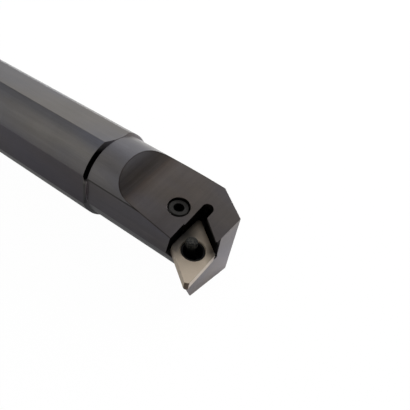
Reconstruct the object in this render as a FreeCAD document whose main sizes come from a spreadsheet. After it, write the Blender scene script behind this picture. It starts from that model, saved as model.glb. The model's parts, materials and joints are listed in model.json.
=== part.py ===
import FreeCAD, Part
import os
import Sketcher

# Boring bar for a lever-clamped 55 degree insert, left hand, shown without its insert.
# +X runs from the rear end of the shank to the head, +Z is up, +Y is the side away from the cutting point.
# The origin is the centre of the rear end face.

doc = FreeCAD.newDocument("boring_bar")
sheet = doc.addObject("Spreadsheet::Sheet", "dims")

DIMENSIONS = [
    # Shank and neck
    ("reach", 300.0),  # rear face to the cutting point
    ("shank_radius", 16.0),
    ("flat_height", 15.0),  # bar axis to each clamping flat
    ("rear_chamfer", 1.5),
    ("neck_length", 50.9),  # shoulder to the cutting point
    ("shoulder_length", 1.08),
    ("neck_radius", 14.9),
    ("side_flat", 14.15),  # bar axis to the flat along the neck
    # Cutting point and seat
    ("point_offset", 22.0),  # bar axis to the cutting point
    ("rake_radial", 10.0),
    ("rake_axial", 8.7),
    ("seat_turn", -59.5),  # long diagonal of the seat, seen from above
    ("half_point_angle", 27.5),
    ("insert_edge", 15.504),
    ("insert_height", 4.76),
    # Top flat of the head
    ("head_flat_height", 3.95),
    ("head_flat_radial", 17.6),
    ("head_flat_axial", 9.7),
    ("runout_start", 42.4),
    ("runout_radius", 8.9),
    # Front and back corner of the head
    ("front_setback", 2.2),
    ("front_turn", 1.5),
    ("front_relief", 1.0),
    ("bevel_setback", 1.9),
    ("bevel_offset", 5.85),
    ("bevel_height", 6.15),
    ("bevel_turn", 64.7),
    ("bevel_relief", 4.0),
    # Support under the seat
    ("support_radius", 20.6),
    ("support_drop", 14.8),
    ("support_inset", 0.35),
    ("support_lean", 22.0),
    # Pocket
    ("pocket_clearance", 0.15),
    ("wall_relief", 0.45),
    ("wall_relief_start", 8.9),
    ("slot_radius", 1.95),
    ("slot_overrun", 0.4),
    ("corner_cut", 13.3),
    ("corner_turn", 27.0),
    # Support plate
    ("plate_edge", 15.14),
    ("plate_thickness", 3.18),
    ("plate_corner", 0.9),
    ("pin_radius", 3.95),
    ("pin_rim", 0.25),
    # Slotted pin through the plate
    ("pin_wall", 0.62),
    ("pin_length", 5.2),
    ("pin_recess", 0.4),
    ("pin_slit", 1.6),
    ("pin_end_gap", 0.3),
    # Lever
    ("lever_turn", 31.1),
    ("lever_reach", 14.0),  # plate hole to lever screw
    ("lever_lean", 7.0),
    ("tip_offset", 2.0),
    ("tip_height", 2.5),
    ("tip_radius", 2.0),
    ("tip_round", 0.6),
    ("tip_length", 2.0),
    ("arm_radius", 1.42),
    ("foot_level", 9.0),
    ("foot_thickness", 2.4),
    ("foot_width", 3.2),
    ("heel_reach", 3.2),
    ("foot_round", 0.5),
    ("channel_gap", 0.6),
    ("swing_gap", 2.4),
    ("channel_side_gap", 0.45),
    # Lever screw
    ("screw_radius", 3.5),
    ("screw_fit", 0.05),
    ("screw_top", 4.45),
    ("screw_chamfer", 0.4),
    ("groove_radius", 2.0),
    ("groove_gap", 0.3),
    ("collar_length", 1.6),
    ("collar_radius", 3.2),
    ("socket_width", 3.0),
    ("socket_depth", 3.4),
    ("counterbore_radius", 3.75),
    ("counterbore_depth", 1.3),
    ("bore_end_gap", 0.4),
    # Sizes of the cutting blocks, each larger than the bar
    ("block", 60.0),
]

for row, (alias, value) in enumerate(DIMENSIONS, start=1):
    sheet.set(f"A{row}", alias)
    sheet.set(f"B{row}", str(value))
    sheet.setAlias(f"B{row}", alias)
doc.recompute()


def say(text):
    """An expression with every word written as a cell of the sheet."""
    names = {alias for alias, _ in DIMENSIONS}
    out = []
    word = ""
    for letter in text + " ":
        if letter.isalnum() or letter == "_":
            word += letter
            continue
        out.append("dims." + word if word in names else word)
        out.append(letter)
        word = ""
    return "".join(out).strip()


def shift(along="0", across="0", up="0"):
    return f"placement(vector({along}; {across}; {up}); rotation(vector(0; 0; 1); 0))"


def turn(axis, angle):
    line = {"x": "1; 0; 0", "y": "0; 1; 0", "z": "0; 0; 1"}[axis]
    return f"placement(vector(0; 0; 0); rotation(vector({line}); {angle}))"


# Centre of the seat, on the plate's top face: +X to the cutting point, +Z square to the seat.
SEAT = [
    shift("reach", "-point_offset", "0"),
    turn("x", "rake_radial"),
    turn("y", "rake_axial"),
    turn("z", "seat_turn"),
    shift("-insert_edge * cos(half_point_angle * 1 deg)", "0", "-insert_height"),
]
# Rear corner of the pocket, +X along the wall that faces the front.
CORNER = SEAT + [
    shift("-(insert_edge * 0.5 / sin(half_point_angle * 1 deg) * sin(half_point_angle * 2 deg))"),
]
WALL = CORNER + [
    turn("z", "-half_point_angle"),
    shift("0", "-pocket_clearance", "0"),
]
# Plane of the lever: +X from the lever screw to the plate's hole.
LEVER = SEAT + [turn("z", "lever_turn")]


def place(item, steps):
    item.setExpression("Placement", say(" * ".join(steps)))


def plane(body, role):
    return next(f for f in body.Origin.OriginFeatures if f.Role == role)


def outline(body, name, role, points):
    """A closed polygon whose corners are held by sized constraints from the sketch origin."""
    sketch = body.newObject("Sketcher::SketchObject", name)
    sketch.AttachmentSupport = [(plane(body, role), "")]
    sketch.MapMode = "FlatFace"
    count = len(points)
    ring = [FreeCAD.Base.Rotation(FreeCAD.Vector(0, 0, 1), 360.0 * k / count) for k in range(count)]
    start = [r.multVec(FreeCAD.Vector(10, 0, 0)) for r in ring]
    for k in range(count):
        sketch.addGeometry(Part.LineSegment(start[k], start[(k + 1) % count]), False)
    for k in range(count):
        sketch.addConstraint(Sketcher.Constraint("Coincident", k, 2, (k + 1) % count, 1))
    for k, (across, up) in enumerate(points):
        for kind, text, size in (("DistanceX", across, start[k].x), ("DistanceY", up, start[k].y)):
            at = sketch.addConstraint(Sketcher.Constraint(kind, -1, 1, k, 1, size))
            sketch.setExpression(f"Constraints[{at}]", say(text))
    return sketch


def make_body(name):
    body = doc.addObject("PartDesign::Body", name)
    body.Label = name
    return body


def revolve(body, points, role="XZ_Plane", axis="H_Axis"):
    sketch = outline(body, body.Name + "_half", role, points)
    turned = body.newObject("PartDesign::Revolution", body.Name + "_turned")
    turned.Profile = sketch
    turned.ReferenceAxis = (sketch, [axis])
    turned.Angle = 360
    body.Tip = turned
    return turned


def prism(name, points, low, high, steps, role="XY_Plane"):
    """A polygon padded from the level low to the level high along its plane's normal."""
    body = make_body(name)
    sketch = outline(body, name + "_outline", role, points)
    sketch.setExpression("AttachmentOffset", say(shift("0", "0", low)))
    pad = body.newObject("PartDesign::Pad", name + "_pad")
    pad.Profile = sketch
    pad.setExpression("Length", say(f"({high}) - ({low})"))
    body.Tip = pad
    if steps:
        place(body, steps)
    return body


def block(name, low, high, steps):
    """A box between two corners, each given as three expressions."""
    box = doc.addObject("Part::Box", name)
    for side, a, b in zip(("Length", "Width", "Height"), low, high):
        box.setExpression(side, say(f"({b}) - ({a})"))
    place(box, steps + [shift(*low)])
    return box


def rod(name, radius, low, high, steps):
    cylinder = doc.addObject("Part::Cylinder", name)
    cylinder.setExpression("Radius", say(radius))
    cylinder.setExpression("Height", say(f"({high}) - ({low})"))
    place(cylinder, steps + [shift("0", "0", low)])
    return cylinder


def join(kind, name, parts):
    made = doc.addObject(kind, name)
    made.Shapes = parts
    made.Label = name
    return made


def cut(name, base, tool):
    made = doc.addObject("Part::Cut", name)
    made.Base = base
    made.Tool = tool
    made.Label = name
    return made


# Turned blank with four clamping flats on the shank
blank = make_body("bar_blank")
revolve(
    blank,
    [
        ("0", "0"),
        ("0", "shank_radius - rear_chamfer"),
        ("rear_chamfer", "shank_radius"),
        ("reach - neck_length", "shank_radius"),
        ("reach - neck_length + shoulder_length", "neck_radius"),
        ("reach", "neck_radius"),
        ("reach", "0"),
    ],
)
flats = []
for turn_no, name in enumerate(("top", "back", "under", "front")):
    flats.append(
        block(
            f"flat_{name}",
            ("-1", "-block", "flat_height"),
            ("reach - neck_length + shoulder_length", "block", "block"),
            [turn("x", str(-90 * turn_no))],
        )
    )
neck_flat = block(
    "neck_flat",
    ("reach - neck_length + shoulder_length", "-block", "-block"),
    ("reach + block", "-side_flat", "block"),
    [],
)

# Support under the plate: the plate's outline carried down to the underside and rounded to clear the bore
HALF_LONG = "(plate_edge * cos(half_point_angle * 1 deg))"
HALF_SHORT = "(plate_edge * sin(half_point_angle * 1 deg))"
INSET_LONG = f"({HALF_LONG} - support_inset / sin(half_point_angle * 1 deg))"
INSET_SHORT = f"({HALF_SHORT} - support_inset / cos(half_point_angle * 1 deg))"
post = prism(
    "support_post",
    [
        (f"-{INSET_LONG}", "0"),
        ("0", f"-{INSET_SHORT}"),
        (f"1.5 * {INSET_LONG}", f"0.5 * {INSET_SHORT}"),
        (f"-0.5 * {INSET_LONG}", f"2.5 * {INSET_SHORT}"),
    ],
    "-block / 2",
    "-plate_thickness + 1",
    SEAT,
)
swing = rod("support_swing", "support_radius", "reach - neck_length", "reach", [turn("y", "90")])
under = block(
    "support_underside",
    ("reach - neck_length", "-block", "-support_drop"),
    ("reach + block", "block", "block"),
    [],
)
side_clearance = block(
    "support_side_cutter",
    ("-block", "-block", "-block"),
    ("block", "0", "block / 12"),
    SEAT
    + [
        shift("0", f"-{INSET_SHORT}", "-plate_thickness"),
        turn("z", "half_point_angle"),
        turn("x", "support_lean"),
    ],
)
support = cut(
    "support",
    join("Part::MultiCommon", "support_block", [post, swing, under]),
    side_clearance,
)
shaped = join(
    "Part::MultiFuse",
    "bar_with_support",
    [cut("bar_flatted", blank, join("Part::MultiFuse", "flat_cutters", flats + [neck_flat])), support],
)

# Top flat of the head with its concave run-out
HEAD_FLAT = [
    shift("reach", "0", "head_flat_height"),
    turn("x", "head_flat_radial"),
    turn("y", "head_flat_axial"),
    shift("runout_radius - runout_start"),
]
flat_cutter = block(
    "head_flat_cutter",
    ("0", "-block", "0"),
    ("runout_start + block", "block", "block"),
    HEAD_FLAT,
)
runout = rod(
    "head_flat_runout",
    "runout_radius",
    "-block",
    "block",
    HEAD_FLAT + [shift("0", "0", "runout_radius"), turn("x", "90")],
)

# Front face and the bevel at the back corner
front_cutter = block(
    "front_cutter",
    ("0", "-block", "-block"),
    ("block", "block", "block"),
    [shift("reach - front_setback"), turn("z", "-front_turn"), turn("y", "front_relief")],
)
bevel_cutter = block(
    "bevel_cutter",
    ("0", "-block", "-block"),
    ("block", "block", "block"),
    [
        shift("reach - bevel_setback", "bevel_offset", "bevel_height"),
        turn("z", "bevel_turn"),
        turn("y", "bevel_relief"),
    ],
)

# Insert pocket: two walls that meet at the rear corner, open to the front and the side
pocket = prism(
    "pocket_cutter",
    [
        ("-pocket_clearance / sin(half_point_angle * 1 deg)", "0"),
        ("block * cos(half_point_angle * 1 deg)", "-block * sin(half_point_angle * 1 deg)"),
        ("block * 2", "0"),
        ("block * cos(half_point_angle * 1 deg)", "block * sin(half_point_angle * 1 deg)"),
    ],
    "-plate_thickness",
    "block",
    CORNER,
)
wall_relief = block(
    "wall_relief_cutter",
    ("wall_relief_start", "-wall_relief", "-plate_thickness"),
    ("block", "1", "block"),
    WALL,
)
SLOT = WALL + [shift("-slot_overrun", "slot_radius", "0")]
slot_end = rod("slot_end_cutter", "slot_radius", "-plate_thickness", "block", SLOT)
slot_run = block(
    "slot_cutter",
    ("0", "-slot_radius", "-plate_thickness"),
    ("block / 6", "slot_radius", "block"),
    SLOT,
)
corner_cut = block(
    "pocket_end_cutter",
    ("0", "-block / 6", "-plate_thickness"),
    ("block", "block / 6", "block"),
    CORNER + [turn("z", "half_point_angle"), shift("corner_cut"), turn("z", "-corner_turn")],
)

# Room for the lever: the pin hole, the channel below the plate and the screw bore
CHANNEL_FLOOR = "(-foot_level - channel_gap)"
CHANNEL_ROOF = "(-foot_level + foot_thickness + swing_gap)"
CHANNEL_SIDE = "(foot_width / 2 + channel_side_gap)"
pin_hole = rod("pin_hole_cutter", "pin_radius", "-pin_recess - pin_length - pin_end_gap", "0", SEAT)
channel = block(
    "channel_cutter",
    ("-lever_reach", f"-{CHANNEL_SIDE}", CHANNEL_FLOOR),
    ("heel_reach + channel_side_gap", CHANNEL_SIDE, CHANNEL_ROOF),
    LEVER,
)
loading = block(
    "loading_slot_cutter",
    ("-lever_reach / 2", f"-{CHANNEL_SIDE}", CHANNEL_FLOOR),
    ("0", CHANNEL_SIDE, "0"),
    LEVER,
)
SCREW = LEVER + [shift("-lever_reach")]
SCREW_END = "(-foot_level - groove_gap - collar_length)"
bore = rod("screw_bore_cutter", "screw_radius + screw_fit", f"{SCREW_END} - bore_end_gap", "block", SCREW)
counterbore = rod(
    "counterbore_cutter", "counterbore_radius", "screw_top - counterbore_depth", "block", SCREW
)

bar = cut(
    "bar",
    shaped,
    join(
        "Part::MultiFuse",
        "head_cutters",
        [
            flat_cutter,
            runout,
            front_cutter,
            bevel_cutter,
            pocket,
            wall_relief,
            slot_end,
            slot_run,
            corner_cut,
            pin_hole,
            channel,
            loading,
            bore,
            counterbore,
        ],
    ),
)

# Support plate with rounded corners and a chamfered hole
plate = prism(
    "support_plate",
    [
        (f"-{HALF_LONG}", "0"),
        ("0", f"-{HALF_SHORT}"),
        (HALF_LONG, "0"),
        ("0", HALF_SHORT),
    ],
    "-plate_thickness",
    "0",
    SEAT,
)
doc.recompute()
base = plate.Tip
upright = [
    f"Edge{k}"
    for k, edge in enumerate(base.Shape.Edges, start=1)
    if abs(edge.Vertexes[0].Z - edge.Vertexes[-1].Z) > 1
]
rounded = plate.newObject("PartDesign::Fillet", "plate_corners")
rounded.Base = (base, upright)
rounded.setExpression("Radius", say("plate_corner"))
plate.Tip = rounded
doc.recompute()
hole_sketch = plate.newObject("Sketcher::SketchObject", "plate_hole")
hole_sketch.AttachmentSupport = [(plane(plate, "XY_Plane"), "")]
hole_sketch.MapMode = "FlatFace"
hole_sketch.addGeometry(Part.Circle(FreeCAD.Vector(0, 0, 0), FreeCAD.Vector(0, 0, 1), 4), False)
hole_sketch.addConstraint(Sketcher.Constraint("Coincident", 0, 3, -1, 1))
hole_size = hole_sketch.addConstraint(Sketcher.Constraint("Radius", 0, 4))
hole_sketch.setExpression(f"Constraints[{hole_size}]", say("pin_radius"))
plate_hole = plate.newObject("PartDesign::Pocket", "plate_hole_cut")
plate_hole.Profile = hole_sketch
plate_hole.Type = "ThroughAll"
plate_hole.Midplane = True
plate.Tip = plate_hole
doc.recompute()
rims = [
    f"Edge{k}"
    for k, edge in enumerate(plate_hole.Shape.Edges, start=1)
    if isinstance(edge.Curve, Part.Circle) and len(edge.Vertexes) == 1 and abs(edge.Vertexes[0].Z) < 0.01
]
hole_rim = plate.newObject("PartDesign::Chamfer", "plate_hole_rim")
hole_rim.Base = (plate_hole, rims)
hole_rim.setExpression("Size", say("pin_rim"))
plate.Tip = hole_rim

# Slotted pin that holds the plate, pressed into the plate and the bar
pin_body = make_body("pin_sleeve")
revolve(
    pin_body,
    [
        ("pin_radius - pin_wall", "-pin_recess - pin_length"),
        ("pin_radius", "-pin_recess - pin_length"),
        ("pin_radius", "-pin_recess - pin_wall / 2"),
        ("pin_radius - pin_wall / 2", "-pin_recess"),
        ("pin_radius - pin_wall", "-pin_recess"),
    ],
    axis="V_Axis",
)
place(pin_body, SEAT)
slit = block(
    "pin_slit_cutter",
    ("-pin_radius * 2", "-pin_slit / 2", "-pin_length * 2"),
    ("0", "pin_slit / 2", "pin_length"),
    LEVER,
)
plate_pin = cut("plate_pin", pin_body, slit)

# Lever: a leaning arm with a round tip, on a foot that reaches into the screw's groove and rocks on its round heel
arm = make_body("lever_arm")
ARM_FOOT = "(-(foot_level - foot_thickness / 2 + tip_height))"
revolve(
    arm,
    [
        ("0", ARM_FOOT),
        ("arm_radius", ARM_FOOT),
        ("arm_radius", "-tip_length - tip_radius + arm_radius"),
        ("tip_radius", "-tip_length"),
        ("tip_radius", "-tip_round"),
        ("tip_radius - tip_round * 0.3", "-tip_round * 0.3"),
        ("tip_radius - tip_round", "0"),
        ("0", "0"),
    ],
    axis="V_Axis",
)
place(arm, LEVER + [shift("-tip_offset", "0", "tip_height"), turn("y", "-lever_lean")])
foot = prism(
    "lever_foot",
    [
        ("-(lever_reach - groove_radius - groove_gap / 2 - foot_round)", "-foot_level"),
        ("heel_reach - foot_thickness / 2", "-foot_level"),
        ("heel_reach - foot_thickness / 2", "-foot_level + foot_thickness"),
        ("-(lever_reach - groove_radius - groove_gap / 2 - foot_round)", "-foot_level + foot_thickness"),
        ("-(lever_reach - groove_radius - groove_gap / 2)", "-foot_level + foot_thickness - foot_round"),
        ("-(lever_reach - groove_radius - groove_gap / 2)", "-foot_level + foot_round"),
    ],
    "-foot_width / 2",
    "foot_width / 2",
    LEVER,
    role="XZ_Plane",
)
heel = rod(
    "lever_heel",
    "foot_thickness / 2",
    "-foot_width / 2",
    "foot_width / 2",
    LEVER
    + [
        shift("heel_reach - foot_thickness / 2", "0", "-foot_level + foot_thickness / 2"),
        turn("x", "90"),
    ],
)
lever = join("Part::MultiFuse", "lever", [arm, foot, heel])

# Lever screw: hex socket on top, a groove for the lever's foot near its end
screw_body = make_body("screw_turned")
revolve(
    screw_body,
    [
        ("0", SCREW_END),
        ("collar_radius - screw_chamfer", SCREW_END),
        ("collar_radius", f"{SCREW_END} + screw_chamfer"),
        ("collar_radius", "-foot_level - groove_gap"),
        ("groove_radius", "-foot_level - groove_gap"),
        ("groove_radius", "-foot_level + foot_thickness + groove_gap"),
        ("screw_radius", "-foot_level + foot_thickness + groove_gap"),
        ("screw_radius", "screw_top - screw_chamfer"),
        ("screw_radius - screw_chamfer", "screw_top"),
        ("0", "screw_top"),
    ],
    axis="V_Axis",
)
place(screw_body, SCREW)
socket = doc.addObject("Part::Prism", "socket_cutter")
socket.Polygon = 6
socket.setExpression("Circumradius", say("socket_width / sqrt(3)"))
socket.setExpression("Height", say("socket_depth + 1"))
place(socket, SCREW + [shift("0", "0", "screw_top - socket_depth")])
point = doc.addObject("Part::Cone", "socket_point_cutter")
point.setExpression("Radius2", say("socket_width / 2"))
point.Radius1 = 0
point.setExpression("Height", say("socket_width / 4"))
place(point, SCREW + [shift("0", "0", "screw_top - socket_depth - socket_width / 4")])
lever_screw = cut("lever_screw", screw_body, join("Part::MultiFuse", "socket_cutters", [socket, point]))

doc.recompute()
SUB_PARTS = [bar, plate, plate_pin, lever, lever_screw]
for item in doc.Objects:
    assert "Invalid" not in item.State and "Error" not in item.State, f"{item.Name} {item.State}"
for item in SUB_PARTS:
    shape = item.Shape
    assert not shape.isNull() and shape.isValid(), f"{item.Label} is not a valid shape"
    assert len(shape.Solids) == 1, f"{item.Label} has {len(shape.Solids)} solids"

os.makedirs("parts", exist_ok=True)
for item in SUB_PARTS:
    item.Shape.exportStep(f"parts/{item.Label}.step")
    box = item.Shape.BoundBox
    print(item.Label, round(item.Shape.Volume, 1), [round(v, 2) for v in (box.XMin, box.XMax)],
          [round(v, 2) for v in (box.YMin, box.YMax)], [round(v, 2) for v in (box.ZMin, box.ZMax)])
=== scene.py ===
# %% [markdown]
# # A boring bar and the clamp in its head
# A boring bar is a long steel bar that reaches into a hole and turns its wall. The pocket in its head leans
# two ways. A sintered plate lies on the pocket's floor, a slotted pin holds the plate, and the round tip of a
# lever stands up through both, ready to pull an insert against the two walls.
#
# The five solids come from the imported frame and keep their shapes, so nothing is modelled here. The lesson
# dresses them: a camera and a small studio, a finish for each piece, and the places where a finish changes.

# %% Load the frame
import json
import math

import bpy
from mathutils import Matrix, Vector

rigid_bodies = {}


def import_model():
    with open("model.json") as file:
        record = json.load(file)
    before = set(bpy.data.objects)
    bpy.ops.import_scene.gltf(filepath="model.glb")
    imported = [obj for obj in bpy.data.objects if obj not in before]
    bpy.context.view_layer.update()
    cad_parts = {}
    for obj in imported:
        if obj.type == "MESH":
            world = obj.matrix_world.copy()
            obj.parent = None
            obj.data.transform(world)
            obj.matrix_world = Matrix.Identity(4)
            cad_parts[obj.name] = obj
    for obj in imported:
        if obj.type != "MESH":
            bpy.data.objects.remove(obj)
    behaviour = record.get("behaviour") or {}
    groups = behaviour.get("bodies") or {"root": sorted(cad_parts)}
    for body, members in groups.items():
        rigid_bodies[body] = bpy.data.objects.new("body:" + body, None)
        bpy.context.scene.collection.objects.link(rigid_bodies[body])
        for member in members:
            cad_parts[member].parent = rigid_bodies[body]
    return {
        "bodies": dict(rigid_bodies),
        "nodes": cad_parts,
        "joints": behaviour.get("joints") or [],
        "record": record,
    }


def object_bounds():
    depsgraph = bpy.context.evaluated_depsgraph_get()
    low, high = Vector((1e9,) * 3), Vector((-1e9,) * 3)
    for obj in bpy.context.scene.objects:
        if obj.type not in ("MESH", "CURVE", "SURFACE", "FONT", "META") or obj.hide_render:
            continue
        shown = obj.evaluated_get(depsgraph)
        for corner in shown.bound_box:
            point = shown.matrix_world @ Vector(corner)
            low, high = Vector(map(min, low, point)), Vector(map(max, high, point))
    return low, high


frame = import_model()
cad_low, cad_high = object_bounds()
nodes = frame["nodes"]
MM = 0.001
print("solids:", sorted(nodes))
print("box in mm:", [round(v / MM, 1) for v in (cad_high - cad_low)])

# %% [markdown]
# ## Camera
# The photograph is taken from close by, above and in front of the head, so the shank runs away to the upper
# left and gets clearly smaller. A long lens far off would show its edges parallel. So the camera stands about
# 15 cm from the head, and its place, turn and lens were fitted to edges and corners of the photograph.

# %% Camera
CAMERA_PLACE = (349.05 * MM, -102.26 * MM, 93.60 * MM)
CAMERA_TURN = (50.505, -10.2145, 35.653)
LENS = 40.846
SENSOR = 36.0
FRAME_SHIFT = (-0.0431, 0.0755)
NEAREST, FARTHEST = 0.005, 20.0

camera_data = bpy.data.cameras.new("camera")
camera_data.lens = LENS
camera_data.sensor_width = SENSOR
camera_data.shift_x, camera_data.shift_y = FRAME_SHIFT
camera_data.clip_start, camera_data.clip_end = NEAREST, FARTHEST
camera = bpy.data.objects.new("camera", camera_data)
camera.location = CAMERA_PLACE
camera.rotation_euler = [math.radians(angle) for angle in CAMERA_TURN]
bpy.context.scene.collection.objects.link(camera)
bpy.context.scene.camera = camera
bpy.context.scene.view_settings.view_transform = "Standard"
print("camera:", [round(v, 3) for v in camera.location], "lens", LENS)

# %% [markdown]
# ## Wiring helpers
# The table, the sky and every finish are graphs of nodes. They could be wired by hand in the Shader Editor. In
# a script each node takes several lines, so four small helpers make a material, a node, a link and a sum.

# %% Helpers for node trees
def new_material(name):
    """A material with an empty node tree."""
    material = bpy.data.materials.new(name)
    material.use_nodes = True
    material.node_tree.nodes.clear()
    return material


def add(tree, kind, **settings):
    """A node of that kind; settings named like its sockets are set on them, others on the node."""
    node = tree.nodes.new(kind)
    for key, value in settings.items():
        socket = node.inputs.get(key.replace("_", " "))
        if socket is not None:
            socket.default_value = value
        else:
            setattr(node, key, value)
    return node


def link(tree, source, target):
    """A wire from an output to an input."""
    tree.links.new(source, target)


def maths(tree, operation, *sides, clamp=False):
    """The result of a Math node; each side is a socket or a plain number."""
    node = add(tree, "ShaderNodeMath", operation=operation, use_clamp=clamp)
    for side, socket in zip(sides, node.inputs):
        if isinstance(side, (int, float)):
            socket.default_value = side
        else:
            link(tree, side, socket)
    return node.outputs[0]


print("helpers ready")

# %% [markdown]
# ## Table
# Metal has little colour of its own: what the eye reads as light and dark faces are the things around it. So
# the studio matters more than the paint. The photograph's ground is white, but its metal mirrors no white
# ground. A lamp strong enough to bleach the table would also bleach the bar. Instead the table glows for rays
# that come straight from the camera, keeps a small share of its own shadow, and shows the metal a quarter of
# its white.

# %% Table
TABLE_LEVEL = cad_low.z
TABLE_SIZE = 6.0
TABLE_MIDDLE = 0.15
TABLE_GREY = 0.86
SHADOW_SHARE = 0.015
GLOSS_SHARE = 0.25
WHITE = (1, 1, 1, 1)

bpy.ops.mesh.primitive_plane_add(size=TABLE_SIZE, location=(TABLE_MIDDLE, 0, TABLE_LEVEL))
table = bpy.context.object
table.name = "table"

table_paint = new_material("table_paint")
tree = table_paint.node_tree
out = add(tree, "ShaderNodeOutputMaterial")
matt = add(tree, "ShaderNodeBsdfDiffuse", Color=(TABLE_GREY, TABLE_GREY, TABLE_GREY, 1))
glow = add(tree, "ShaderNodeEmission", Color=WHITE, Strength=1.0)
ray = add(tree, "ShaderNodeLightPath")
seen = maths(tree, "MULTIPLY", ray.outputs["Is Camera Ray"], 1 - SHADOW_SHARE)
mirrored = maths(tree, "MULTIPLY_ADD", ray.outputs["Is Glossy Ray"], GLOSS_SHARE, seen)
mixer = add(tree, "ShaderNodeMixShader")
link(tree, maths(tree, "ADD", ray.outputs["Is Transmission Ray"], mirrored), mixer.inputs[0])
link(tree, matt.outputs[0], mixer.inputs[1])
link(tree, glow.outputs[0], mixer.inputs[2])
link(tree, mixer.outputs[0], out.inputs[0])
table.data.materials.append(table_paint)
print("table at", round(TABLE_LEVEL / MM, 2), "mm")

# %% [markdown]
# ## Sky
# Behind the table's rim the camera meets the world. It is white to the camera for the same reason as the
# table, and almost black to everything else, because the lamps below are to light the bar alone. A brighter
# world would be simpler, but it would grey every dark face at once.

# %% World
WORLD_LIGHT = 0.04
world = bpy.data.worlds.new("world")
world.use_nodes = True
bpy.context.scene.world = world
tree = world.node_tree
tree.nodes.clear()
out = add(tree, "ShaderNodeOutputWorld")
dim = add(tree, "ShaderNodeBackground", Color=WHITE, Strength=WORLD_LIGHT)
white = add(tree, "ShaderNodeBackground", Color=WHITE, Strength=1.0)
ray = add(tree, "ShaderNodeLightPath")
mixer = add(tree, "ShaderNodeMixShader")
white_rays = maths(tree, "ADD", ray.outputs["Is Camera Ray"], ray.outputs["Is Transmission Ray"])
link(tree, white_rays, mixer.inputs[0])
link(tree, dim.outputs[0], mixer.inputs[1])
link(tree, white.outputs[0], mixer.inputs[2])
link(tree, mixer.outputs[0], out.inputs[0])
print("world light", WORLD_LIGHT)

# %% [markdown]
# ## Soft boxes
# The shank's top flat is one of the bar's lightest faces, and faces that look at the camera are dark. So a
# large bright card stands low behind the bar, where the top flat mirrors it, and nothing bright stands near
# the camera.
# Each lamp is a square area light at the same distance from the head, placed by two angles: its azimuth from
# +X towards +Y and its elevation from the table. That makes it easy to ask which face would mirror it.

# %% Lamps
HEAD = Vector((270 * MM, -4 * MM, 0))
BOX_DISTANCE = 1.2
BOX_SIDE = 0.75
CEILING_SIDE = 0.9
SOFT_BOXES = {
    # name: azimuth, elevation, side in metres, watts
    "back_low": (90, 18, BOX_SIDE, 34.4),
    "back_high": (80, 50, BOX_SIDE, 2.2),
    "back_left_low": (135, 18, BOX_SIDE, 2.0),
    "back_left_high": (140, 50, BOX_SIDE, 2.9),
    "left_low": (180, 18, BOX_SIDE, 0.5),
    "left_high": (200, 50, BOX_SIDE, 2.1),
    "front_left_low": (225, 18, BOX_SIDE, 2.3),
    "right_low": (45, 18, BOX_SIDE, 3.2),
    "ceiling": (0, 89, CEILING_SIDE, 0.6),
}


def soft_box(name, azimuth, elevation, side, watts):
    """A square lamp that looks at the head and that the camera doesn't see."""
    lamp = bpy.data.lights.new(name, "AREA")
    lamp.shape = "SQUARE"
    lamp.size = side
    lamp.energy = watts
    turn, rise = math.radians(azimuth), math.radians(elevation)
    away = Vector((math.cos(turn) * math.cos(rise), math.sin(turn) * math.cos(rise), math.sin(rise)))
    box = bpy.data.objects.new(name, lamp)
    box.location = HEAD + away * BOX_DISTANCE
    box.rotation_euler = away.to_track_quat("Z", "Y").to_euler()
    box.visible_camera = False
    bpy.context.scene.collection.objects.link(box)
    return box


lamps = [soft_box(name, *values) for name, values in SOFT_BOXES.items()]
print("lamps:", len(lamps), "with", round(sum(box.data.energy for box in lamps), 1), "watts")

# %% [markdown]
# ## Noise, shades and tints
# Every finish needs uneven patches, so this cell holds the three steps that make them. Noise is read at the
# surface's own place on the piece, so the pattern stays when the lever moves. A Mapping node squeezes that
# place along one axis, which draws the noise out into lines. A ramp turns the noise into shades, and a tint
# multiplies a colour by a shade. Multiplying keeps whatever grain the colour already has.

# %% Helpers for uneven colour
NO_STRETCH = (1, 1, 1)


def noise(tree, scale, detail, stretch=NO_STRETCH, roughness=0.5):
    """Noise of that scale per metre; a stretch below 1 draws it out along that axis."""
    place = add(tree, "ShaderNodeTexCoord")
    draw = add(tree, "ShaderNodeMapping")
    draw.inputs["Scale"].default_value = stretch
    link(tree, place.outputs["Object"], draw.inputs["Vector"])
    node = add(tree, "ShaderNodeTexNoise", Scale=scale, Detail=detail, Roughness=roughness)
    link(tree, draw.outputs[0], node.inputs["Vector"])
    return node.outputs["Fac"]


def ramp(tree, level, stops):
    """Shades between stops of position and shade, read at the level."""
    node = add(tree, "ShaderNodeValToRGB")
    elements = node.color_ramp.elements
    while len(elements) < len(stops):
        elements.new(0.5)
    for element, (position, shade) in zip(elements, stops):
        element.position = position
        element.color = (*shade, 1)
    link(tree, level, node.inputs[0])
    return node.outputs[0]


def tint(tree, color, shade, mask=None):
    """The colour times the shade, a socket or three numbers, where the mask is white or else everywhere."""
    node = add(tree, "ShaderNodeMix", data_type="RGBA", blend_type="MULTIPLY")
    factor, first, second = node.inputs[0], node.inputs[6], node.inputs[7]
    if mask is None:
        factor.default_value = 1.0
    else:
        link(tree, mask, factor)
    link(tree, color, first)
    if isinstance(shade, tuple):
        second.default_value = (*shade, 1)
    else:
        link(tree, shade, second)
    return node.outputs[2]


def blend(tree, mask, first, second):
    """The number first where the mask is black and second where it is white."""
    node = add(tree, "ShaderNodeMix", data_type="FLOAT")
    link(tree, mask, node.inputs[0])
    for value, socket in ((first, node.inputs[2]), (second, node.inputs[3])):
        if isinstance(value, float):
            socket.default_value = value
        else:
            link(tree, value, socket)
    return node.outputs[0]


print("noise, ramp, tint and blend ready")

# %% [markdown]
# ## Grain
# Oxide-coated steel is dark and still mirrors its surroundings softly. Turning and grinding leave fine lines
# along the bar, and handling leaves faint cloudy patches. A photographed texture would show both, but it would
# repeat and bring seams. Noise has neither. One node group makes lines, specks and clouds for all five
# finishes, and each finish says how much of them it wants.

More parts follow.
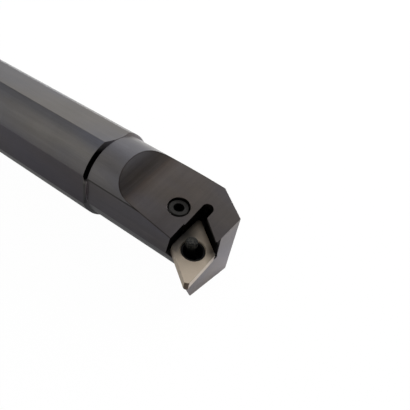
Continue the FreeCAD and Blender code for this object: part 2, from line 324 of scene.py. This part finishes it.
# %% Surface grain shared by the finishes
FINE_LINES = (2200.0, 3.0, (0.03, 1, 1))
BROAD_LINES = (420.0, 2.0, (0.04, 1, 1))
SPECKS = (2600.0, 4.0)
CLOUDS = (110.0, 3.0)
GRAIN_ROUGHNESS = 0.6
ROUGHNESS_SWING = 0.15


def new_group(name, inputs, outputs):
    """An empty node group, its input node and its output node; inputs give a name, a kind and a value."""
    group = bpy.data.node_groups.new(name, "ShaderNodeTree")
    for title, kind, value in inputs:
        socket = group.interface.new_socket(title, in_out="INPUT", socket_type="NodeSocket" + kind)
        socket.default_value = value
    for title, kind in outputs:
        group.interface.new_socket(title, in_out="OUTPUT", socket_type="NodeSocket" + kind)
    return group, group.nodes.new("NodeGroupInput"), group.nodes.new("NodeGroupOutput")


def make_grain():
    """Lines and streaks along X, small specks and cloudy patches, as a tint, a roughness and a height."""
    group, given, made = new_group(
        "grain",
        [
            ("Color", "Color", (0.3, 0.3, 0.3, 1)),
            ("Lines", "Float", 0.3),
            ("Specks", "Float", 0.3),
            ("Clouds", "Float", 0.3),
            ("Roughness", "Float", 0.4),
        ],
        [("Color", "Color"), ("Roughness", "Float"), ("Height", "Float")],
    )

    def layer(values, amount):
        """Noise around zero, times the amount that the finish gives."""
        swing = maths(group, "SUBTRACT", noise(group, *values, roughness=GRAIN_ROUGHNESS), 0.5)
        return maths(group, "MULTIPLY", swing, given.outputs[amount])

    relief = maths(group, "ADD", layer(FINE_LINES, "Lines"), layer(SPECKS, "Specks"))
    patches = maths(group, "ADD", layer(BROAD_LINES, "Lines"), layer(CLOUDS, "Clouds"))
    total = maths(group, "ADD", relief, patches)
    shade = add(group, "ShaderNodeVectorMath", operation="SCALE")
    link(group, given.outputs["Color"], shade.inputs[0])
    link(group, maths(group, "ADD", total, 1.0), shade.inputs["Scale"])
    link(group, shade.outputs[0], made.inputs["Color"])
    rough = maths(group, "MULTIPLY_ADD", total, ROUGHNESS_SWING, given.outputs["Roughness"])
    link(group, rough, made.inputs["Roughness"])
    link(group, relief, made.inputs["Height"])
    return group


GRAIN = make_grain()
print("grain sockets:", [s.name for s in GRAIN.interface.items_tree])

# %% [markdown]
# ## One finish
# Each finish is one Principled surface behind the grain: the grain tints its colour, varies its roughness and
# raises its bump. Real edges are never perfectly sharp, and they catch a thin line of light. A bevel in the
# mesh would change the solid, so a Bevel node rounds only the shading at each edge.

# %% A finish
BUMP_HEIGHT = 0.00002
BEVEL_SAMPLES = 4


def finish(name, color, metallic, roughness, lines, specks, clouds, bump, edge):
    """A Principled surface whose colour, roughness and bump come from the grain."""
    material = new_material(name)
    tree = material.node_tree
    out = add(tree, "ShaderNodeOutputMaterial")
    surface = add(tree, "ShaderNodeBsdfPrincipled", Metallic=metallic)
    grain = add(tree, "ShaderNodeGroup", node_tree=GRAIN)
    grain.inputs["Color"].default_value = (*color, 1)
    grain.inputs["Lines"].default_value = lines
    grain.inputs["Specks"].default_value = specks
    grain.inputs["Clouds"].default_value = clouds
    grain.inputs["Roughness"].default_value = roughness
    relief = add(tree, "ShaderNodeBump", Strength=bump, Distance=BUMP_HEIGHT)
    link(tree, grain.outputs["Color"], surface.inputs["Base Color"])
    link(tree, grain.outputs["Roughness"], surface.inputs["Roughness"])
    link(tree, grain.outputs["Height"], relief.inputs["Height"])
    if edge:
        soft = add(tree, "ShaderNodeBevel", samples=BEVEL_SAMPLES, Radius=edge * MM)
        link(tree, soft.outputs[0], relief.inputs["Normal"])
    link(tree, relief.outputs[0], surface.inputs["Normal"])
    link(tree, surface.outputs[0], out.inputs[0])
    return tree, surface, grain, material


print("finish ready")

# %% [markdown]
# ## The five finishes
# The bar is coated steel, dark and metallic. The plate is ground carbide, tan and matt. The pin is black and
# sits in shadow, so its colour is darkened further by a painted shade. The lever's tip is blackened and dull,
# and the screw is black with a soft gloss.
# A table of numbers is enough to tell them apart, and it keeps all five side by side for comparing.

# %% Finishes
FINISHES = {
    # node: colour, metallic, roughness, lines, specks, clouds, bump, edge in mm
    "bar": ((0.094, 0.09, 0.089), 1.0, 0.36, 0.3, 0.2, 0.25, 0.15, 0.1),
    "support_plate": ((0.49, 0.405, 0.31), 0.0, 0.5, 0.0, 0.15, 0.15, 0.1, 0.2),
    # near black: the pin's own black with a painted shade
    "plate_pin": ((0.005, 0.005, 0.005), 0.0, 0.9, 0.0, 0.3, 0.2, 0.1, 0.0),
    "lever": ((0.033, 0.0317, 0.027), 0.0, 0.7, 0.0, 0.5, 0.2, 0.3, 0.0),
    "lever_screw": ((0.018, 0.017, 0.016), 0.9, 0.45, 0.0, 0.3, 0.2, 0.1, 0.1),
}
dressed = {}
for node, values in FINISHES.items():
    *dressed[node], material = finish(node + "_finish", *values)
    nodes[node].data.materials.clear()
    nodes[node].data.materials.append(material)
print("finishes:", list(FINISHES))

# %% [markdown]
# ## Where the places are
# The finishes change from place to place: the pocket's walls are black, and the head's flat is warmer than
# the shank. Faces could be picked one by one and given materials of their own, but the solid's triangles
# change with every rebuild. Places don't. So each is named here once, as a frame of three axes that is built
# up from the bar's own sizes: move to the cutting point, lean, turn, step back to the plate's middle.

# %% Frames of the pocket, the screw and the head's flat
# lengths in mm, angles in degrees
REACH = 300.0
NOSE_OFFSET = 22.0
POCKET_LEAN = (10.0, 8.7)
POCKET_TURN = -59.5
HALF_POINT = 27.5
INSERT_EDGE = 15.504
INSERT_THICKNESS = 4.76
HALF_INSERT = INSERT_EDGE * math.cos(math.radians(HALF_POINT))
SCREW_TURN, SCREW_REACH = 31.1, 14.0
FLAT_LEVEL = 3.95
FLAT_LEAN = (17.6, 9.7)


def frame_of(*steps):
    """Chain of ("move", x, y, z) in mm and ("x" | "y" | "z", degrees) as one matrix in metres."""
    made = Matrix.Identity(4)
    for kind, *values in steps:
        if kind == "move":
            made = made @ Matrix.Translation(Vector(values) * MM)
        else:
            made = made @ Matrix.Rotation(math.radians(values[0]), 4, kind.upper())
    return made


SEAT = frame_of(
    ("move", REACH, -NOSE_OFFSET, 0),
    ("x", POCKET_LEAN[0]),
    ("y", POCKET_LEAN[1]),
    ("z", POCKET_TURN),
    ("move", -HALF_INSERT, 0, -INSERT_THICKNESS),
)
REAR_WALL = SEAT @ frame_of(("move", -HALF_INSERT, 0, 0), ("z", -HALF_POINT))
FRONT_WALL = SEAT @ frame_of(("move", -HALF_INSERT, 0, 0), ("z", HALF_POINT))
SCREW = SEAT @ frame_of(("z", SCREW_TURN), ("move", -SCREW_REACH, 0, 0))
HEAD_FLAT = frame_of(("move", REACH, 0, FLAT_LEVEL), ("x", FLAT_LEAN[0]), ("y", FLAT_LEAN[1]))
BAR = Matrix.Identity(4)
BAR_AXIS = frame_of(("y", 90))
print("seat centre in mm:", [round(v / MM, 2) for v in SEAT.translation])

# %% [markdown]
# ## Slab
# A groove, a rim or a stretch of the bar lies between two levels along some axis. The slab group is white
# there and fades out inside both levels, so a place can have a crisp edge or a soft one. A gradient texture
# would give one edge only, and no width in millimetres.

# %% Slab
def make_slab():
    """White where the level along Axis lies between Low and High, with fades as wide as Fade."""
    group, given, made = new_group(
        "slab",
        [
            ("Axis", "Vector", (0, 0, 1)),
            ("Low", "Float", -1.0),
            ("High", "Float", 1.0),
            ("Fade", "Float", 0.0001),
        ],
        [("Mask", "Float")],
    )
    place = add(group, "ShaderNodeTexCoord")
    along = add(group, "ShaderNodeVectorMath", operation="DOT_PRODUCT")
    link(group, place.outputs["Object"], along.inputs[0])
    link(group, given.outputs["Axis"], along.inputs[1])
    level = along.outputs["Value"]

    def past(first, second):
        """How far the first lies past the second, in fades, held between 0 and 1."""
        apart = maths(group, "SUBTRACT", first, second)
        return maths(group, "DIVIDE", apart, given.outputs["Fade"], clamp=True)

    both = maths(group, "MULTIPLY", past(level, given.outputs["Low"]), past(given.outputs["High"], level))
    link(group, both, made.inputs["Mask"])
    return group


SLAB = make_slab()
X, Y, Z = 0, 1, 2


def slab(frame, axis, low, high, fade):
    """A mark between two levels in mm along an axis of a frame, with fades in mm."""
    direction = frame.to_3x3().col[axis]
    start = direction.dot(frame.translation)
    return SLAB, {"Axis": direction, "Low": start + low * MM, "High": start + high * MM, "Fade": fade * MM}


print("slab sockets:", [s.name for s in SLAB.interface.items_tree])

# %% [markdown]
# ## Facing
# A wall and the flat beside it share an edge, and a slab alone would bleed from one onto the other. The
# facing group tells them apart by where the surface looks: it compares the normal with a direction.

# %% Facing
def make_facing():
    """White where the surface looks along Axis by more than Limit, a cosine."""
    group, given, made = new_group(
        "facing", [("Axis", "Vector", (0, 0, 1)), ("Limit", "Float", 0.7)], [("Mask", "Float")]
    )
    place = add(group, "ShaderNodeTexCoord")
    along = add(group, "ShaderNodeVectorMath", operation="DOT_PRODUCT")
    link(group, place.outputs["Normal"], along.inputs[0])
    link(group, given.outputs["Axis"], along.inputs[1])
    past = maths(group, "GREATER_THAN", along.outputs["Value"], given.outputs["Limit"])
    link(group, past, made.inputs["Mask"])
    return group


FACING = make_facing()
FORWARD = (1, 0, 0)
FLAT_ONLY, FACE_ONLY, WALL_ONLY, STEP_ONLY = 0.995, 0.9, 0.6, 0.3


def looks(direction, limit):
    """A mark where the surface looks along a direction by more than a limit, a cosine."""
    return FACING, {"Axis": direction, "Limit": limit}


print("facing sockets:", [s.name for s in FACING.interface.items_tree])

# %% [markdown]
# ## Ring
# The run-out is cut into the round neck, and the screw's socket lies round the screw's axis. Both are told
# from what surrounds them by their distance from an axis, so the third group measures that.

# %% Ring
def make_ring():
    """White where the distance from the line through Centre along Axis lies between Low and High."""
    group, given, made = new_group(
        "ring",
        [
            ("Centre", "Vector", (0, 0, 0)),
            ("Axis", "Vector", (0, 0, 1)),
            ("Low", "Float", 0.0),
            ("High", "Float", 1.0),
        ],
        [("Mask", "Float")],
    )
    place = add(group, "ShaderNodeTexCoord")
    away = add(group, "ShaderNodeVectorMath", operation="SUBTRACT")
    link(group, place.outputs["Object"], away.inputs[0])
    link(group, given.outputs["Centre"], away.inputs[1])
    across = add(group, "ShaderNodeVectorMath", operation="CROSS_PRODUCT")
    link(group, away.outputs[0], across.inputs[0])
    link(group, given.outputs["Axis"], across.inputs[1])
    radius = add(group, "ShaderNodeVectorMath", operation="LENGTH")
    link(group, across.outputs[0], radius.inputs[0])
    outside = maths(group, "GREATER_THAN", radius.outputs["Value"], given.outputs["Low"])
    inside = maths(group, "LESS_THAN", radius.outputs["Value"], given.outputs["High"])
    link(group, maths(group, "MULTIPLY", outside, inside), made.inputs["Mask"])
    return group


RING = make_ring()


def ring(frame, low, high):
    """A mark between two distances in mm from the Z axis of a frame."""
    axis = frame.to_3x3().col[Z]
    return RING, {"Centre": frame.translation, "Axis": axis, "Low": low * MM, "High": high * MM}


print("ring sockets:", [s.name for s in RING.interface.items_tree])

# %% [markdown]
# ## Marks together
# One mark is seldom enough: a wall is a slab that also looks one way. Multiplied masks are white only where
# all of them are white, so a place is simply a list of marks.

# %% A place as a product of marks
def mark(tree, *marks):
    """One mask that is white where all the marks are."""
    mask = None
    for group, values in marks:
        node = add(tree, "ShaderNodeGroup", node_tree=group)
        for name, value in values.items():
            node.inputs[name].default_value = value
        mask = node.outputs[0] if mask is None else maths(tree, "MULTIPLY", mask, node.outputs[0])
    return mask


NOTCH_SLANT = (0.89, -0.45, 0)
wall_normal = REAR_WALL.to_3x3().col[Y]
front_normal = -FRONT_WALL.to_3x3().col[Y]
notch_normal = FRONT_WALL.to_3x3() @ Vector(NOTCH_SLANT)
flat_normal = HEAD_FLAT.to_3x3().col[Z]
print("the head's flat looks along", [round(v, 2) for v in flat_normal])

# %% [markdown]
# ## The round back of the shank
# Between the top flat and the front flat the shank is round, and soft stripes run along it: grey at its foot,
# lighter above, bluish beside the top flat. They are reflections of the studio, painted into the colour.
# More lamps could bring them, but each lamp would change every other face too. A ramp over the height paints
# the reflections on this one band and leaves the rest alone. It ends just before the shoulder, so the step
# behind the neck keeps its own shades.

# %% Painted reflections along the round back
tree, surface, grain = dressed["bar"]
color = grain.outputs["Color"]
SHOULDER_START, SHOULDER_END = 249.1, 250.18
BAND_FOOT, BAND_TOP = 5.0, 15.2
# painted reflections on the round back, as shades along its height
BAND_REFLECTIONS = (
    # share of the band's height, shade
    (0.10, (0.84, 0.84, 0.86)),
    (0.40, (0.95, 0.96, 0.97)),
    (0.62, (1.25, 1.27, 1.27)),
    (0.76, (1.15, 1.17, 1.20)),
    (0.88, (0.84, 0.88, 0.98)),
    (0.97, (0.82, 0.86, 0.98)),
)

band = mark(
    tree,
    slab(BAR, X, -1, SHOULDER_START - 0.1, 0.01),
    slab(BAR, Z, 5.6, 14.96, 0.03),
    slab(BAR, Y, -14.97, 0, 0.02),
)
place = add(tree, "ShaderNodeTexCoord")
split = add(tree, "ShaderNodeSeparateXYZ")
link(tree, place.outputs["Object"], split.inputs[0])
height = add(tree, "ShaderNodeMapRange", From_Min=BAND_FOOT * MM, From_Max=BAND_TOP * MM)
link(tree, split.outputs["Z"], height.inputs["Value"])
color = tint(tree, color, ramp(tree, height.outputs[0], BAND_REFLECTIONS), band)
print("stripes:", len(BAND_REFLECTIONS))

# %% [markdown]
# ## Painted light and shade on the bar's faces
# The bar is one solid, and light falls differently on each of its faces. The lamps alone don't give each face
# its tone, so light and shade are painted into the colour face by face. The front flat gets a painted shade
# with a violet cast, the head's flat a warm brown-grey that is cooler towards the front, the run-out a painted
# shade in its hollow where the mill turned up, the relief at the front wall's end a painted shade, and the
# front face painted light that makes it the brightest. Thin dark rims lie where two faces meet, and a painted
# highlight makes a bright line on the shoulder's corner. Each row is a name, the shade that the face is
# multiplied by, and the marks that find it.

# %% Shades by place
SHOULDER = slab(BAR, X, SHOULDER_START - 0.05, SHOULDER_END + 0.06, 0.02)
SHOULDER_FACE = looks(FORWARD, STEP_ONLY)
SHOULDER_TOP = (SHOULDER, SHOULDER_FACE, slab(BAR, Y, -9, 16, 2))
ON_HEAD_FLAT = looks(flat_normal, FLAT_ONLY)
ON_FRONT_FACE = (looks(FORWARD, FACE_ONLY), slab(BAR, X, 292, 301, 0.1))
IN_NECK_ROUND = ring(BAR_AXIS, 0, 14.87)
NOTCH_SIDE = (looks(FORWARD, FACE_ONLY), slab(BAR, Y, -8, -3.55, 0.25))
NOTCH = (*NOTCH_SIDE, slab(BAR, Z, -5, 5, 0.1))
ALONG_NECK = (SHOULDER_END, 275)

# painted light and shade, face by face
FACE_LIGHT_AND_SHADE = (
    # name, shade, marks
    # painted shade with a violet cast on the front flat
    ("front_flat", (0.74, 0.70, 0.78), (
        slab(BAR, Y, -15.05, -14.95, 0.01), slab(BAR, X, -1, SHOULDER_START, 0.1))),
    ("neck_flat", (1.02, 0.99, 1.03), (
        slab(BAR, Y, -14.2, -14.1, 0.01), slab(BAR, X, SHOULDER_END, 299, 0.01))),
    ("neck", (0.96, 0.96, 0.975), (
        slab(BAR, X, *ALONG_NECK, 0.01), slab(HEAD_FLAT, Z, 0.02, 20, 0.02), slab(BAR, Y, -14.1, 15, 0.02))),
    ("head_flat", (1.10, 1.02, 0.97), (ON_HEAD_FLAT, slab(BAR, X, 262, 301, 1.0))),
    # painted shade in the run-out's hollow and along its rim
    ("run_out", (0.66, 0.60, 0.55), (
        slab(HEAD_FLAT, X, -43, -29.5, 5.5), slab(HEAD_FLAT, Z, -0.3, 9, 0.05), IN_NECK_ROUND)),
    ("run_out_rim", (0.65, 0.62, 0.6), (
        slab(HEAD_FLAT, X, -43, -30, 2), slab(HEAD_FLAT, Z, 0.05, 9, 0.1), ring(BAR_AXIS, 14.6, 14.87))),
    ("head_front", (1.04, 1.08, 1.16), (ON_HEAD_FLAT, slab(BAR, X, 280, 310, 10))),
    # painted light on the front face and its foot
    ("front_face", (1.45, 1.39, 1.42), ON_FRONT_FACE),
    ("front_face_foot", (1.4, 1.38, 1.38), (*ON_FRONT_FACE, slab(BAR, Z, -30, -2, 9))),
    # painted shade in the relief at the front wall's end
    ("notch", (0.16, 0.15, 0.15), NOTCH),
    ("flat_edge", (0.45, 0.44, 0.43), (ON_HEAD_FLAT, slab(BAR, Y, -14.3, -13.75, 0.1))),
    ("neck_edge", (0.38, 0.39, 0.36), (
        slab(BAR, Z, 4.2, 4.95, 0.2), slab(BAR, Y, -14.25, -13.9, 0.02), slab(BAR, X, *ALONG_NECK, 0.5))),
    # painted highlight on the shoulder's corner
    ("shoulder_end", (4.2, 4.0, 4.2), (
        slab(BAR, X, SHOULDER_END - 0.02, SHOULDER_END + 0.1, 0.01), slab(BAR, Y, -16, -14.1, 0.02),
        SHOULDER_FACE)),
    ("shoulder_foot", (0.55, 0.55, 0.55), (
        slab(BAR, X, SHOULDER_START, SHOULDER_END - 0.02, 0.01), slab(BAR, Y, -16, -14.2, 0.1),
        slab(BAR, Z, -5.5, 3.2, 0.5))),
    ("shoulder_top", (1.2, 1.15, 1.18), SHOULDER_TOP),
)
for name, shade, marks in FACE_LIGHT_AND_SHADE:
    color = tint(tree, color, shade, mark(tree, *marks))
print("faces of the bar:", [name for name, *_ in FACE_LIGHT_AND_SHADE])

# %% [markdown]
# ## Drift of the coat and streaks of the mill
# The oxide's cast drifts between brown and violet along the bar, over several centimetres. The mill left
# streaks across the run-out, and much fainter ones across the head's flat. All three are noise read through a
# ramp with two shades close to white, so the same helper makes them. Only scale and stretch differ: drawn out
# along the bar the noise becomes long clouds, and drawn out across it the marks of a mill.

# %% Clouds and mill streaks
CLOUD_DETAIL = 2.0
LOW_CLOUD, HIGH_CLOUD = 0.35, 0.65
DRIFT_SCALE, RUN_OUT_SCALE, FLAT_SCALE = 70.0, 1000.0, 900.0
ALONG = (0.35, 1, 1)
ACROSS = (1, 0.05, 0.05)


def cloud_tint(tree, color, mask, scale, stretch, low, high):
    """The colour times a cloudy shade between low and high; stretch draws the clouds out along an axis."""
    clouds = noise(tree, scale, CLOUD_DETAIL, stretch)
    return tint(tree, color, ramp(tree, clouds, ((LOW_CLOUD, low), (HIGH_CLOUD, high))), mask)


run_out = mark(
    tree, slab(HEAD_FLAT, X, -43, -26.6, 6.0), slab(HEAD_FLAT, Z, -0.1, 9, 0.3), IN_NECK_ROUND
)
milled_flat = mark(tree, ON_HEAD_FLAT, slab(BAR, X, 264, 301, 5))
color = cloud_tint(tree, color, None, DRIFT_SCALE, ALONG, (1.03, 1.0, 0.95), (0.96, 0.98, 1.07))
color = cloud_tint(tree, color, run_out, RUN_OUT_SCALE, ACROSS, (0.88, 0.87, 0.86), (1.15, 1.14, 1.13))
color = cloud_tint(tree, color, milled_flat, FLAT_SCALE, ACROSS, (0.97, 0.97, 0.97), (1.03, 1.03, 1.02))
print("clouds and streaks laid")

# %% [markdown]
# ## Black places
# The step behind the neck, the pocket's two walls and the small relief at the end of the front wall are
# black in the photograph: they look away from all light. Lamps would have to leave a hole in the room for each
# of them, so these places get a colour near black. Where the photograph shows the black fading, at the top of
# the step and at the front wall's upper edge, the marks fade with it.

# %% Black places
BLACK = (0.03, 0.03, 0.03)
BLACK_PLACES = (
    # step behind the neck
    (SHOULDER, SHOULDER_FACE, slab(BAR, Y, -16, -3.6, 1), slab(BAR, Z, 3.6, 30, 1.2),
     slab(BAR, Z, -30, 14.9, 2.4)),
    # rear wall of the pocket
    (slab(REAR_WALL, Y, -0.9, 0.1, 0.02), looks(wall_normal, WALL_ONLY), slab(SEAT, Z, -4, 12, 0.1)),
    # front wall of the pocket
    (slab(FRONT_WALL, Y, -0.2, 3.2, 0.02), looks(front_normal, WALL_ONLY), slab(SEAT, Z, -4, 4.4, 1.2)),
    # relief at the front wall's end
    (slab(FRONT_WALL, Y, -0.2, 1.9, 0.02), slab(FRONT_WALL, X, 13, 15, 0.02), looks(notch_normal, FACE_ONLY)),
    # front face beside the relief
    (*NOTCH_SIDE, slab(BAR, Z, -5, 2.4, 1.6)),
)
black = None
for marks in BLACK_PLACES:
    one = mark(tree, *marks)
    black = one if black is None else maths(tree, "MAXIMUM", black, one)
color = tint(tree, color, BLACK, black)
link(tree, color, surface.inputs["Base Color"])
print("black places:", len(BLACK_PLACES))

# %% [markdown]
# ## Gloss of the places
# A dark metal still shines at a low angle, so dark colour alone leaves the black places grey. They are also
# made rough, which spreads that shine until it can't be seen. The run-out is a little rougher than the rest,
# and milling across the head left no lines along it, so there the grain's lines are turned down.

# %% Roughness and lines by place
ROUGHEST = 0.95
RUN_OUT_ROUGHNESS = 0.5
LINES_ON_SHANK, LINES_ON_HEAD = 0.3, 0.06

head_cut = mark(
    tree, slab(BAR, X, 256, 301, 1.0), slab(HEAD_FLAT, Z, -1, 9, 0.1), slab(BAR, Z, 1, 16, 0.1)
)
link(tree, blend(tree, head_cut, LINES_ON_SHANK, LINES_ON_HEAD), grain.inputs["Lines"])
rough = blend(tree, run_out, grain.outputs["Roughness"], RUN_OUT_ROUGHNESS)
dull = maths(tree, "MAXIMUM", black, mark(tree, *SHOULDER_TOP))
dull = maths(tree, "MAXIMUM", dull, mark(tree, *NOTCH))
link(tree, blend(tree, dull, rough, ROUGHEST), surface.inputs["Roughness"])
print("nodes in the bar's finish:", len(tree.nodes))

# %% [markdown]
# ## The support plate
# The plate is ground carbide, tan and matt. A painted shade darkens it towards both walls, which shadow it,
# its right flank is a little paler and bluer than its top, and its nose is dark. The painted shade is soft and
# wide, so its marks have long fades, and two of them lie over each other near the rear wall.

# %% Places on the plate
tree, surface, grain = dressed["support_plate"]
color = grain.outputs["Color"]
ON_PLATE_TOP = looks(SEAT.to_3x3().col[Z], FACE_ONLY)
FLANK_LIMIT = 0.8
flank_normal = (SEAT @ frame_of(("z", 90 - HALF_POINT))).to_3x3().col[X]
ON_FLANK = looks(flank_normal, FLANK_LIMIT)
NOSE = slab(SEAT, X, 11.9, 14, 0.15)
PLATE_PLACES = (
    # name, shade, marks
    # painted shade along both walls, this row and the four below
    ("shade_by_rear_wall", (0.36, 0.34, 0.32), (
        slab(REAR_WALL, Y, -5, 3.8, 3.5), slab(REAR_WALL, X, -5, 13, 5), ON_PLATE_TOP)),
    ("rear_corner", (0.35, 0.33, 0.31), (slab(REAR_WALL, Y, -5, 1.7, 1.5), ON_PLATE_TOP)),
    ("shade_by_front_wall", (0.45, 0.43, 0.41), (slab(FRONT_WALL, Y, -1.9, 5, 1.7), ON_PLATE_TOP)),
    ("rear_wall_end", (0.22, 0.21, 0.20), (
        slab(REAR_WALL, Y, -5, 5.4, 3.2), slab(REAR_WALL, X, 5, 19.5, 3.5))),
    ("front_wall_end", (0.25, 0.24, 0.23), (
        slab(FRONT_WALL, Y, -4.2, 5, 3.0), slab(FRONT_WALL, X, 11, 30, 3), ON_PLATE_TOP)),
    ("flank", (1.0, 1.02, 1.12), (ON_FLANK,)),
    # painted shade on the flank by the front wall
    ("flank_end", (0.62, 0.62, 0.62), (ON_FLANK, slab(FRONT_WALL, Y, -3.2, 5, 2))),
    ("nose", (0.17, 0.145, 0.13), (NOSE,)),
)
for name, shade, marks in PLATE_PLACES:
    color = tint(tree, color, shade, mark(tree, *marks))
link(tree, color, surface.inputs["Base Color"])
rough = blend(tree, mark(tree, NOSE), grain.outputs["Roughness"], ROUGHEST)
link(tree, rough, surface.inputs["Roughness"])
print("places on the plate:", [name for name, *_ in PLATE_PLACES])

# %% [markdown]
# ## The lever's tip
# The lever's tip is a blackened, pitted dome that catches little light. The pits could be modelled, but they
# are smaller than a tenth of a millimetre. Noise pushed to strong contrast gives dark spots of that size.
# Below the dome the stem stands in the pin's dark hole, so it is darkened by a painted shade, with a soft
# edge.

# %% Pits on the lever
PIT_SCALE, PIT_DETAIL = 2000.0, 1.0
PITS = ((0.47, (0.08, 0.08, 0.08)), (0.55, (1, 1, 0.97)))
DULL_SPECULAR = 0.2
# painted shade of the stem in the pin's hole
STEM_SHADE = (0.1, 0.1, 0.1)
STEM = slab(SEAT, Z, -30, 1.3, 0.5)

tree, surface, grain = dressed["lever"]
surface.inputs["Specular IOR Level"].default_value = DULL_SPECULAR
color = tint(tree, grain.outputs["Color"], ramp(tree, noise(tree, PIT_SCALE, PIT_DETAIL), PITS))
link(tree, tint(tree, color, STEM_SHADE, mark(tree, STEM)), surface.inputs["Base Color"])
print("lever tip pitted")

# %% [markdown]
# ## The lever screw
# The lever screw is blackened and has a hex socket. The socket and its worn rim read as one round black spot,
# the shade inside them. The rim is too fine to model and must not change the hexagon, which a key has to fit.
# So a ring round the screw's axis paints that shade on, black and rough like the pocket.

# %% Places on the screw
SOCKET_RIM = ring(SCREW, 0, 1.8)
# painted shade of the socket and its rim
SOCKET_SHADE = (0.02, 0.02, 0.02)

tree, surface, grain = dressed["lever_screw"]
socket = mark(tree, SOCKET_RIM)
link(tree, tint(tree, grain.outputs["Color"], SOCKET_SHADE, socket), surface.inputs["Base Color"])
link(tree, blend(tree, socket, grain.outputs["Roughness"], ROUGHEST), surface.inputs["Roughness"])
print("screw axis at", [round(v / MM, 2) for v in SCREW.translation])
